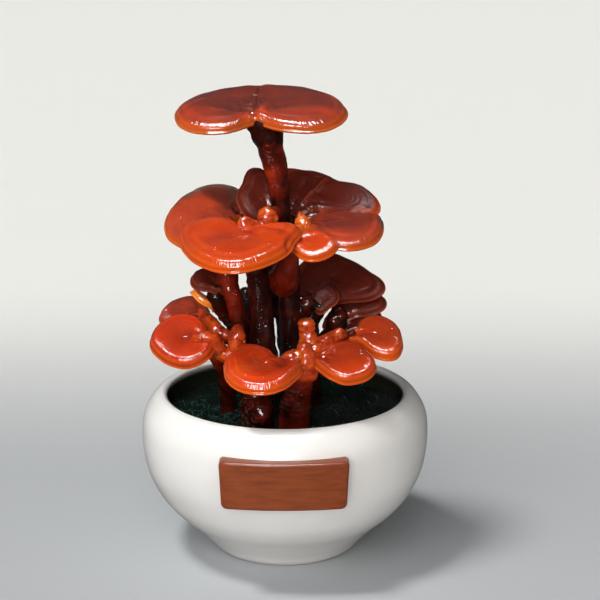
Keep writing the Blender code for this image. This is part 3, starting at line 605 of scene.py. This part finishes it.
def bark_material():
    """Lacquered stems: near-black red-brown that turns orange where the growth is young."""
    bark = Recipe("bark", Roughness=0.5, Specular_IOR_Level=0.03, Coat_Roughness=0.08, Coat_IOR=1.45)
    tone = bark.mark("tone")
    gloss = bark.math("ADD", bark.span(tone, -0.4, 0.0, 0.0, 0.55), bark.span(tone, 0.3, 0.8, 0.0, 0.45))
    bark.link(gloss, "Coat Weight")
    cloud = bark.noise(8, 3)
    tone = bark.math("ADD", tone, bark.span(cloud, 0.3, 0.7, -0.12, 0.12))
    dark = bark.mix(bark.span(cloud, 0.35, 0.65), (0.011, 0.0012, 0.0005), (0.032, 0.0030, 0.0008))
    ember = bark.mix(bark.span(tone, 0.05, 0.5), dark, (0.20, 0.012, 0.0025))
    fresh = bark.mix(bark.noise(4, 2), (0.36, 0.024, 0.003), (0.62, 0.075, 0.008))
    body = bark.mix(bark.span(tone, 0.45, 0.85), ember, fresh)
    body = bark.mix(bark.span(tone, 1.0, 1.5), body, (0.88, 0.17, 0.016))
    # grey on bud_back; on stem_low_right the grey-pink along the rib crests is a painted highlight
    body = bark.mix(bark.mark("grey"), body, (0.085, 0.052, 0.046))
    return bark.finish(body, (bark.noise(2.8, 2), 0.35), (bark.noise(1.0, 2), 0.07),
                       (bark.beads(2.2, 0.62, 0.70), 0.40), coat=True)


# -------- caps

def rim_radius(cap, bearing):
    """Distance from the outline's middle to the rim."""
    table = np.array(cap.radii, float)
    place = (bearing + math.pi) / math.tau * len(table)
    first = np.floor(place).astype(int)
    return catmull_rom(*(table[(first + shift) % len(table)] for shift in (-1, 0, 1, 2)), place - first)


def cap_frame(cap):
    """Place and turn of a cap: X is its heading, Z its upper face."""
    turn = (Matrix.Rotation(math.radians(cap.heading), 4, "Z")
            @ Matrix.Rotation(math.radians(-cap.pitch), 4, "Y")
            @ Matrix.Rotation(math.radians(cap.roll), 4, "X"))
    return Matrix.Translation(Vector(cap.root) * MM) @ turn


class CapSheet:
    """Every point of a cap; polar runs from 0 at the upper pole over the rim to pi at the lower one."""

    def __init__(self, cap, seed):
        self.cap = cap
        self.seed = seed
        upper = np.linspace(0, 0.5 * math.pi, cap.sides // 4)
        lower = np.linspace(0.5 * math.pi, math.pi, cap.sides // 8)[1:]
        bearing = np.linspace(-math.pi, math.pi, cap.sides, endpoint=False)
        self.polar, self.bearing = np.meshgrid(np.concatenate((upper, lower)), bearing, indexing="ij")
        share = self.share = np.sin(self.polar)
        self.radius = rim_radius(cap, self.bearing)
        self.x = cap.middle[0] + self.radius * share * np.cos(self.bearing)
        self.y = cap.middle[1] + self.radius * share * np.sin(self.bearing)
        self.from_root = np.hypot(self.x, self.y)
        self.to_rim = self.radius * (1 - share)
        growth = self.from_root / (self.from_root + self.to_rim + 1e-9)
        flesh = cap.hollow * (1 - (1 - growth) ** 2) - cap.droop * share ** cap.bend
        wave = cap.ripple * share ** 2 * np.cos(cap.waves * self.bearing)
        skin = 0.5 * cap.thick * np.sqrt(np.maximum(0, 1 - share ** 6)) * np.sign(np.cos(self.polar))
        self.points = vectors(self.x, self.y, flesh + wave + skin)

    def noise(self, size, number):
        """Noise over the cap's own plane; each number gives another one."""
        return noise(vectors(self.x, self.y, 0), size, self.seed + number)

    def line(self, start_x, start_y, end_x, end_y):
        """Share of a line that each point has passed, and how far to its left it is."""
        length = math.hypot(end_x - start_x, end_y - start_y)
        ahead_x = (end_x - start_x) / length
        ahead_y = (end_y - start_y) / length
        x = self.x - start_x
        y = self.y - start_y
        return (x * ahead_x + y * ahead_y) / length, y * ahead_x - x * ahead_y + 1.2 * self.noise(9, 4)

    def spot(self, x, y, length, width, turn=0):
        """1 in the middle of an oval spot, falling smoothly to 0."""
        turn = math.radians(turn)
        along = (self.x - x) * math.cos(turn) + (self.y - y) * math.sin(turn)
        across = (self.y - y) * math.cos(turn) - (self.x - x) * math.sin(turn)
        return np.exp(-(along / length) ** 2 - (across / width) ** 2)

    def lip(self, reach):
        """1 on the ridges and -1 in the grooves that run round the cap's very edge."""
        edge = (self.polar - 0.5 * math.pi) * self.cap.thick / 8
        return np.cos(math.tau * (edge + 0.03) / 0.25) * bell(edge, reach)

    def lower(self):
        """1 on the pore face, 0 above it."""
        return ease(-np.cos(self.polar), 0.0, 0.25)

    def normals(self):
        down = np.gradient(self.points, axis=0)
        around = np.roll(self.points, -1, 1) - np.roll(self.points, 1, 1)
        across = np.cross(down, around)
        across /= np.maximum(np.linalg.norm(across, axis=-1, keepdims=True), 1e-9)
        across[0] = (0, 0, 1)
        across[-1] = (0, 0, -1)
        return across

    def relief(self):
        """Height of the fine form over the plain cap, in millimetres."""
        cap = self.cap
        height = cap.fold * self.noise(19, 0) + 0.3 * cap.fold * self.noise(8, 1)
        patch = np.clip(0.5 + 0.9 * self.noise(12, 2), 0.1, 1)
        phase = self.to_rim / 3.1 + 1.1 * self.noise(15, 6) + 0.25 * self.noise(5, 7)
        height += cap.bands * patch * np.sin(math.tau * phase) * ease(self.to_rim, 4, 9)
        root_bearing = np.arctan2(self.y, self.x)
        rays = vectors(np.cos(root_bearing), np.sin(root_bearing), self.from_root / 60)
        height += cap.wrinkle * np.exp(-self.from_root / 14) * noise(rays, 0.3, self.seed + 3)
        height += 0.5 * cap.wrinkle * np.exp(-self.from_root / 9) * self.noise(2.6, 8)
        crinkle = self.noise(2.8, 10) + 0.4 * self.noise(1.4, 11)
        for x, y, radius, rise in cap.crumples:
            height += rise * self.spot(x, y, radius, radius) * crinkle
        height -= cap.funnel * bell(self.from_root, 6)
        for *ends, half_width, depth, step in cap.creases:
            along, across = self.line(*ends)
            raised = across if step > 0 else -across
            ledge = abs(step) * ease(raised, -0.5 * half_width, 0.5 * half_width)
            ledge = ledge * bell(np.maximum(0, raised), 4 * half_width)
            height += between(along, -0.1, 0.2, 0.75, 1.1) * (ledge - depth * bell(across, half_width))
        for *oval, depth, _ in cap.spots:
            height -= depth * self.spot(*oval)
        wide = cap.roll_width
        swing = 0.75 + 0.35 * self.noise(14, 9)
        for rise, inward, width in RIM_FORM:
            height += rise * swing * wide ** 2 * bell(self.to_rim / wide - inward, width)
        upper = ease(np.cos(self.polar), 0.0, 0.4)
        return upper * height + 0.30 * self.lip(0.36) + 0.15 * self.lower() * self.noise(1.6, 5)

    def marks(self):
        """What the material paints by. The age mark holds the cap's own age and, with it, painted shade and
        painted highlights.
        """
        cap = self.cap
        world = np.array(cap_frame(cap).to_3x3())
        outward = vectors(np.cos(self.bearing), np.sin(self.bearing), 0) @ world.T
        backward = ease(0.5 + 0.5 * outward[..., 1], 0.35, 0.9)
        # painted shade: the side of the cap away from the front is darker, and its rim colour fades there
        age = cap.age + cap.back_shade * backward * self.share
        glow = 0.25 * bell(self.to_rim, 9 * cap.roll_width) * cap.rim_glow ** 2
        age -= glow * (1 - backward * cap.back_shade)
        # painted highlight on the ridges of the lip and painted shade in its grooves
        lip = self.lip(0.40)
        age -= np.where(lip < 0, 0.3 if cap.skin == "brick" else 0.65, 0.65) * lip
        # painted shade in dents and painted highlight on raised spots; on flat spots the cap's own colour
        for *oval, _, darkening in cap.spots:
            age += darkening * self.spot(*oval)
        # painted shade past a fold, partly the cap's older colour
        for *ends, softness, darkening in cap.dusks:
            age += darkening * ease(self.line(*ends)[1], -softness, softness)
        # painted highlights along ridges and folds, painted shade along creases
        for *ends, half_width, darkening in cap.streaks:
            along, across = self.line(*ends)
            age += darkening * between(along, -0.1, 0.1, 0.85, 1.05) * bell(across, half_width)
        lit = 1 - 0.8 * backward * min(1, 2 * cap.back_shade)
        degrees = np.degrees(self.bearing)
        for start, end, strength in cap.lit_rims:
            lit = lit + strength * between(degrees, start - 6, start + 6, end - 6, end + 6)
            age -= np.clip(lit - 1, 0, 1) * bell(self.to_rim, 3.2)
        band = bell(self.to_rim, 2.4 * cap.roll_width)
        for start, end, width in cap.dull_rims:
            dull = between(degrees, start - 12, start + 12, end - 12, end + 12)
            dull = dull * np.exp(-(self.to_rim / width) ** 4)
            age = np.maximum(age, 0.9 * dull)
            band = np.maximum(band, 0.9 * dull)
        to_side = self.radius * np.sin(self.bearing)
        ray = vectors(self.radius * np.cos(self.bearing), to_side, 0.12 * self.to_rim)
        beaded = (cap.skin != "plum") * 0.34 * bell(self.to_rim / cap.roll_width - 10.5, 2.0)
        for x, y, radius, _ in cap.crumples:
            beaded = np.maximum(beaded, 0.38 * self.spot(x, y, radius, radius))
        return {"rim": np.clip(band * math.sqrt(cap.rim_glow) * lit, 0, 1), "under": self.lower(), "age": age,
                "rayed": ray * MM, "beaded": beaded, "fluted": bell(self.to_rim - 3.4, 2.6)}


def cap_piece(name, cap, seed):
    sheet = CapSheet(cap, seed)
    points = sheet.points + sheet.normals() * sheet.relief()[..., None]
    points[0] = points[0].mean(0)
    points[-1] = points[-1].mean(0)
    place = np.array(cap_frame(cap))
    world = trim(points) * MM @ place[:3, :3].T + place[:3, 3]
    marks = {mark: trim(values) for mark, values in sheet.marks().items()}
    piece = new_piece(name + "_skin", world, grid_faces(len(points) - 2, cap.sides), skins[cap.skin], marks)
    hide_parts(name)


# -------- stems

def frames_along(line):
    """The line's direction at each of its points, and two unit vectors square to it, without twist."""
    ahead = np.gradient(line, axis=0)
    ahead = ahead / np.linalg.norm(ahead, axis=1, keepdims=True)
    side = np.cross(ahead[0], (0.2, 1.0, 0.1))
    sides = []
    for direction in ahead:
        side = side - direction * side.dot(direction)
        side = side / np.linalg.norm(side)
        sides.append(side)
    return ahead, np.array(sides), np.cross(ahead, sides)


def round_end(row, ahead, flatness=0.8, steps=5):
    """Rows that close a tube with a dome: each is x, y, z, radius and tone."""
    rows = []
    for step in range(1, steps + 1):
        angle = 0.5 * math.pi * step / steps
        dome = row.copy()
        dome[:3] += ahead * row[3] * flatness * math.sin(angle)
        dome[3] *= max(0.02, math.cos(angle))
        rows.append(dome)
    return rows


def stem_piece(name, points, seed):
    """A knobbly tube along the CAD stem's own route."""
    points = [(*point, 0)[:5] for point in points]
    line = smooth_line(points, per_span=14)
    ahead, _, _ = frames_along(line[:, :3])
    start = round_end(line[0], -ahead[0])[::-1]
    end = round_end(line[-1], ahead[-1], flatness=0.35 if name == "bud_right" else 0.8)
    line = np.vstack((start, line, end))
    _, across, upward = frames_along(line[:, :3])
    sides = 40 if max(point[3] for point in points) > SLIM else 28
    turn = circle(sides)
    outward = across[:, None] * np.cos(turn)[:, None] + upward[:, None] * np.sin(turn)[:, None]
    radius = line[:, 3:4]
    plain = line[:, None, :3] + outward * radius[..., None]
    along = np.concatenate(((0,), np.cumsum(np.linalg.norm(np.diff(line[:, :3], axis=0), axis=1))))
    level = vectors(along, 0, 0)
    knuckle = 0.09 * noise(level, 7, seed) + 0.06 * np.abs(noise(level, 3.2, seed + 1))
    lumps = 0.09 * noise(plain, 6, seed + 2) + 0.07 * noise(plain, 2.6, seed + 3)
    flutes = 0.06 * noise(vectors(2 * np.cos(turn), 2 * np.sin(turn), along[:, None] / 26), 1.0, seed + 4)
    crease = bell(noise(plain, 4.2, seed + 6), 0.10) * ease(line[:, 4:5], 0.5, 0.9)
    height = radius * (knuckle[:, None] + lumps + flutes - 0.09 * crease)
    if name in SEAMS:
        low, high, facing, rise = SEAMS[name]
        azimuth = np.degrees(np.arctan2(outward[..., 1], outward[..., 0]))
        beads = 0.7 + 0.8 * np.maximum(0, noise(level, 1.7, seed + 7))[:, None]
        reach = between(plain[..., 2], low, low + 5, high - 5, high)
        height = height + rise * reach * beads * bell(azimuth - facing, 11)
    grey = 0.75 if name == "bud_back" else 0
    if name in RIBS:
        low, high, spacing, depth = RIBS[name]
        level_up = plain[..., 2] + 1.2 * noise(plain, 9, seed + 5)
        reach = between(level_up, low, low + 5, high - 5, high)
        arc = np.sin(math.tau * level_up / spacing)
        height = height + depth * reach * arc
        if name == "stem_low_right":
            # painted highlight along the crests of the ribs
            grey = 0.55 * reach * ease(arc, 0.3, 1) * ease(noise(plain, 5, seed + 8), -0.4, 0.3)
    # painted shade: creases in young growth are darker
    tone = line[:, 4:5] - 0.45 * crease
    # tone by height: raised knobs more orange, partly painted highlight; dents darker, painted shade
    for *middle, rise, size, in_tone in ((*knob, None)[:6] for knob in KNOBS.get(name, ())):
        knob = np.exp(-((plain - middle) ** 2).sum(-1) / size ** 2)
        height = height + rise * knob
        tone = tone + (0.14 * rise if in_tone is None else in_tone) * knob
    surface = plain + outward * height[..., None]
    surface[0] = line[0, :3]
    surface[-1] = line[-1, :3]
    marks = {"tone": trim(tone), "grey": trim(grey + 0 * tone)}
    piece = new_piece(name + "_bark", trim(surface) * MM, grid_faces(len(line) - 2, sides), bark, marks)
    if name in STEMS:
        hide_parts(name)
    "young_growth" if np.mean([point[4] for point in points]) > YOUNG else "bark"


# -------- bowl and name plate

def bowl():
    """A profile that runs from mid floor over the mouth to mid foot, turned about the axis."""
    inner = smooth_line(BOWL_INSIDE, per_span=6)
    outer = smooth_line(BOWL_OUTSIDE, per_span=6)
    floor_height = BOWL_INSIDE[0][1]
    profile = np.vstack(((0, floor_height), (BOWL_FLAT, floor_height), inner, outer, (BOWL_FLAT, 0), (0, 0)))
    inside_darkening = (1 - ease(profile[:, 1], *BOWL_INSIDE_DARKENING)) * (np.arange(len(profile)) < len(inner) + 2)
    radius, height = profile.T[..., None]
    turn = circle(BOWL_STEPS)
    rows = vectors(radius * np.cos(turn), radius * np.sin(turn), height)
    rows *= 1 - 0.0015 * np.abs(noise(rows, 38, 7))[..., None] * (1, 1, 0)
    inside = trim(np.repeat(inside_darkening[:, None], BOWL_STEPS, 1))
    faces = grid_faces(len(profile) - 2, BOWL_STEPS)
    piece = new_piece("bowl_glaze", trim(rows) * MM, faces, glaze, {"inside": inside})
    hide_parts("bowl")


def plate_outline(steps):
    """Rounded outline of the plate's face as x and height from its centre."""
    points = []
    for quarter, (out_x, out_z) in enumerate(((1, 1), (-1, 1), (-1, -1), (1, -1))):
        for step in range(steps):
            angle = 0.5 * math.pi * (quarter + step / (steps - 1))
            z = out_z * (0.5 * PLATE_HEIGHT - PLATE_CORNER) + PLATE_CORNER * math.sin(angle)
            level = 0.5 + z / PLATE_HEIGHT
            half = 0.5 * (PLATE_BOTTOM_WIDTH + (PLATE_TOP_WIDTH - PLATE_BOTTOM_WIDTH) * level)
            points.append((out_x * (half - PLATE_CORNER) + PLATE_CORNER * math.cos(angle), z))
    return np.array(points)


def densify(outline, spacing):
    """The closed outline with extra points, so that no step is longer than the spacing."""
    rows = []
    for start, end in zip(outline, np.roll(outline, -1, 0)):
        count = max(1, math.ceil(np.linalg.norm(end - start) / spacing))
        rows += [start + (end - start) * step / count for step in range(count)]
    return np.array(rows)


def plate():
    """A glazed slab with softened edges, bowed a little to the bowl."""
    full = densify(plate_outline(7), 1.6)
    face = full * (1 - 2 * PLATE_EDGE / np.array((PLATE_TOP_WIDTH, PLATE_HEIGHT)))
    # outline, depth behind the front, and mark of each row
    rows = [(face * share, 0.0, 0.0) for share in (0, *np.linspace(0.04, 1, 14))]
    for step in range(1, 7):
        angle = 0.5 * math.pi * step / 6
        rows.append((face + (full - face) * math.sin(angle), PLATE_EDGE * (1 - math.cos(angle)),
                     math.sin(angle * 2) ** 2 if step < 6 else 0.3))
    thick = PLATE_FRONT - PLATE_BACK
    rows += [(full, 3.0, 0.2), (full, 6.0, 0.2), (full, thick, 0.2), (0 * full, thick, 0.0)]
    outline, back, mark = (np.array(part) for part in zip(*rows))
    x, z = outline.T
    bow = PLATE_BOW * (2 * x / PLATE_TOP_WIDTH) ** 2
    surface = trim(vectors(x, bow + back - PLATE_FRONT, z + PLATE_CENTRE_HEIGHT).swapaxes(0, 1))
    surface[:, 1] += 0.12 * np.abs(noise(surface, 9, 3))
    edge = trim(np.repeat(mark[:, None], len(full), 1))
    faces = [face[::-1] for face in grid_faces(len(rows) - 2, len(full))]
    piece = new_piece("plaque_glaze", surface * MM, faces, plate_glaze, {"edge": edge})
    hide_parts("plaque")


# -------- moss

def moss_height(x, y):
    """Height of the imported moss."""
    flat = vectors(x, y, 0)
    crown = 1.5 * (1 - (x * x + y * y) / MOSS_RADIUS ** 2)
    return MOSS_GROUND + crown + 1.3 * noise(flat, 13, 11) + 0.6 * noise(flat, 5, 12)


def moss_ground():
    far = np.linspace(0, MOSS_RADIUS, 60)[:, None]
    turn = circle(200)
    x = far * np.cos(turn)
    y = far * np.sin(turn)
    top = vectors(x, y, moss_height(x, y))
    bottom = np.concatenate((top[-1:], 0 * top[-1:])) * (1, 1, 0) + (0, 0, MOSS_FLOOR)
    points = trim(np.concatenate((top, bottom))) * MM
    piece = new_piece("moss_ground", points, grid_faces(len(far), len(turn)), moss)
    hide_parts("moss_bed")


def strands(starts, headings, lengths, width, rng, steps, curl):
    """Points and faces of thin three-sided curling tubes, and how near its tip each point is, from 0 to 1.

    The width is one for all tubes, or a column with each tube's own.
    """
    count = len(starts)
    place = starts.copy()
    direction = headings / np.linalg.norm(headings, axis=1, keepdims=True)
    axis = rng.normal(size=(count, 3))
    axis /= np.linalg.norm(axis, axis=1, keepdims=True)
    rows = []
    for step in range(steps + 1):
        side = np.cross(direction, axis + 0.01)
        side /= np.linalg.norm(side, axis=1, keepdims=True) + 1e-9
        other = np.cross(direction, side)
        taper = width * (1 - 0.6 * step / steps)
        rows.append(np.stack([place + taper * (side * math.cos(turn) + other * math.sin(turn))
                              for turn in (0, math.tau / 3, 2 * math.tau / 3)], 1))
        place = place + direction * (lengths / steps)[:, None]
        direction = direction + curl * np.cross(axis, direction) + 0.25 * rng.normal(size=(count, 3))
        direction /= np.linalg.norm(direction, axis=1, keepdims=True)
    points = np.stack(rows, 1)
    faces = []
    for base in range(0, points[..., 0].size, 3 * (steps + 1)):
        tip = base + 3 * steps
        faces += [(low + here, low + after, low + 3 + after, low + 3 + here)
                  for low in range(base, tip, 3) for here, after in ((0, 1), (1, 2), (2, 0))]
        faces += [(base + 2, base + 1, base), (tip, tip + 1, tip + 2)]
    tips = np.broadcast_to(np.linspace(0, 1, steps + 1)[:, None], points.shape[:3])
    return points.reshape(-1, 3), faces, tips.reshape(-1)


def moss_strands():
    rng = np.random.default_rng(5)
    angle = rng.uniform(0, math.tau, STRANDS)
    far = (MOSS_RADIUS - 1.5) * np.sqrt(rng.uniform(0, 1, STRANDS))
    x = far * np.cos(angle)
    y = far * np.sin(angle)
    starts = vectors(x, y, moss_height(x, y) - 0.6)
    headings = rng.normal(size=(STRANDS, 3)) * (1, 1, 0.4) + (0, 0, 0.9)
    lengths = rng.uniform(6, 13, STRANDS)
    # a painted pool of light: the bright teal strands gather on the lit left side
    patch_x, patch_y, half_x, half_y = LIT_MOSS_PATCH
    zone = np.exp(-((x - patch_x) / half_x) ** 2 - ((y - patch_y) / half_y) ** 2)
    zone = zone * (1 + 0.8 * noise(starts, 9, 10))
    bright = (rng.uniform(0, 1, STRANDS) < 0.42 * zone + 0.02) * rng.uniform(0.3, 1, STRANDS)
    width = (0.17 + 0.17 * bright)[:, None]
    points, faces, tips = strands(starts, headings, lengths, width, rng, steps=6, curl=0.55)
    far = np.hypot(points[:, 0], points[:, 1])
    points[:, :2] *= np.minimum(1, (MOSS_RADIUS + 1) / np.maximum(far, 1))[:, None]
    points[:, 2] = np.minimum(points[:, 2], MOSS_TIPS + 0.4 * noise(points, 2, 9))
    # fresh marks the strands of the painted pool of light
    fresh = np.repeat(bright, len(points) // STRANDS)
    piece = new_piece("moss_strands", points * MM, faces, strand, {"tip": tips, "fresh": fresh})


def root_threads():
    """Dry threads that cling to the foot of the front left stem."""
    rng = np.random.default_rng(8)
    angle = rng.uniform(-2.9, -1.2, THREADS)
    height = rng.uniform(86, 108, THREADS)
    x, y = THREAD_STEM
    starts = vectors(x + THREAD_RADIUS * np.cos(angle), y + THREAD_RADIUS * np.sin(angle), height)
    headings = vectors(np.cos(angle), np.sin(angle), rng.uniform(-1.5, 1.5, THREADS))
    lengths = rng.uniform(3, 7, THREADS)
    points, faces, _ = strands(starts, headings, lengths, 0.09, rng, steps=7, curl=0.6)
    piece = new_piece("root_threads", points * MM, faces, thread)


# -------- stage

def floor():
    """A pale floor with painted shade: darker near the bowl and in front of it, paler far behind."""
    mesh = bpy.data.meshes.new("floor")
    mesh.from_pydata([(-60, -60, 0), (60, -60, 0), (60, 60, 0), (-60, 60, 0)], [], [(0, 1, 2, 3)])
    paint = Recipe("floor_paint", Roughness=0.8, Specular_IOR_Level=0.1)
    away = paint.node("SeparateXYZ", {0: paint.place()}).outputs["Y"]
    away = paint.span(away, 0.10, 0.65, kind="SMOOTHSTEP")
    mesh.materials.append(paint.finish(paint.mix(away, (0.40, 0.42, 0.437), (0.74, 0.75, 0.73))))
    plane = put("floor", mesh)
    plane.visible_glossy = False      # the lacquer mirrors the lamps, not the floor


def soft_light(name, toward, spread, power, colour=(1, 1, 1), gleam=False):
    """A far soft lamp, or a gleam that is only mirrored; spread is how wide it looks in degrees."""
    lamp = bpy.data.lights.new(name, "SUN")
    lamp.energy = power
    lamp.angle = math.radians(spread)
    lamp.color = colour
    light = put(name, lamp)
    light.rotation_euler = Vector(toward).to_track_quat("Z", "Y").to_euler()
    light.visible_glossy = gleam
    light.visible_diffuse = not gleam


def gloss_panel(name, toward, width, depth, power):
    """A wide panel that is only mirrored."""
    lamp = bpy.data.lights.new(name, "AREA")
    lamp.shape = "RECTANGLE"
    lamp.size = width
    lamp.size_y = depth
    lamp.energy = power
    panel = put(name, lamp)
    away = Vector(toward).normalized()
    panel.location = Vector((0, 0, 0.2)) + 2.2 * away
    across = Vector((1, 0, 0)).cross(away).normalized()
    panel.rotation_euler = Matrix((across.cross(away), across, away)).transposed().to_euler()
    panel.visible_diffuse = False


def lights():
    """Each lamp's second value points from the mushroom to it."""
    soft_light("key", (-0.36, -0.10, 0.93), 12, 2.15, (1.0, 0.98, 0.95))
    gloss_panel("panel", (-0.06, -0.42, 0.91), 1.05, 0.80, 190)
    soft_light("front", (-0.30, -1.0, 0.50), 60, 2.2, (1.0, 0.99, 0.98))
    soft_light("left", (-1.0, -0.45, 0.8), 40, 0.45)
    soft_light("right", (1.0, -0.8, 0.25), 60, 0.55, (1.0, 0.95, 0.90))
    soft_light("warm_fill", (0.0, -1.0, 0.02), 50, 0.55, (1.0, 0.66, 0.40))
    soft_light("gleam", (-0.15, -0.92, 0.38), 22, 4.5, gleam=True)
    world = bpy.data.worlds.new("studio")
    world.use_nodes = True
    background = world.node_tree.nodes["Background"]
    background.inputs["Color"].default_value = (0.90, 0.94, 1.0, 1)
    background.inputs["Strength"].default_value = 0.08
    scene.world = world


def camera():
    """The photograph's own viewpoint, looking about 15 degrees down."""
    lens = bpy.data.cameras.new("camera")
    lens.sensor_width = 36
    lens.lens = 109.6
    view = put("camera", lens)
    view.location = (0.0094, -1.0937, 0.4601)
    view.rotation_euler = (math.radians(74.6), 0, 0)
    scene.camera = view


# -------- making

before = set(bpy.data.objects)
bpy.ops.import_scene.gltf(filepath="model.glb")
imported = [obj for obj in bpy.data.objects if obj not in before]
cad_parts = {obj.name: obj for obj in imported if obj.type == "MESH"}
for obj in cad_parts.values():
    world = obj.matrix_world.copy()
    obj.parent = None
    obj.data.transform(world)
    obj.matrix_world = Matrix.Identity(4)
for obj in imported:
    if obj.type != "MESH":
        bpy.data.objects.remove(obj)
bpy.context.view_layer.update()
scene = bpy.context.scene

scene.view_settings.view_transform = "Standard"
camera()
lights()
floor()

glaze = glaze_material()
plate_glaze = plate_material()
moss = moss_material()
strand = strand_material()
thread = thread_material()
bark = bark_material()
skins = {name: skin_material(name) for name in SKINS}

bowl()
plate()
soil_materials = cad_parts["soil"].data.materials
soil_materials.clear()
soil_materials.append(soil_material())
moss_ground()
moss_strands()
root_threads()
for number, (cap_name, cap_shape) in enumerate(CAPS.items()):
    cap_piece(cap_name, cap_shape, 20 * number)
for number, (stem_name, stem_points) in enumerate(STEMS.items()):
    stem_piece(stem_name, stem_points, 500 + 20 * number)
stem_piece("stalk_low_left", STALK, 1100)
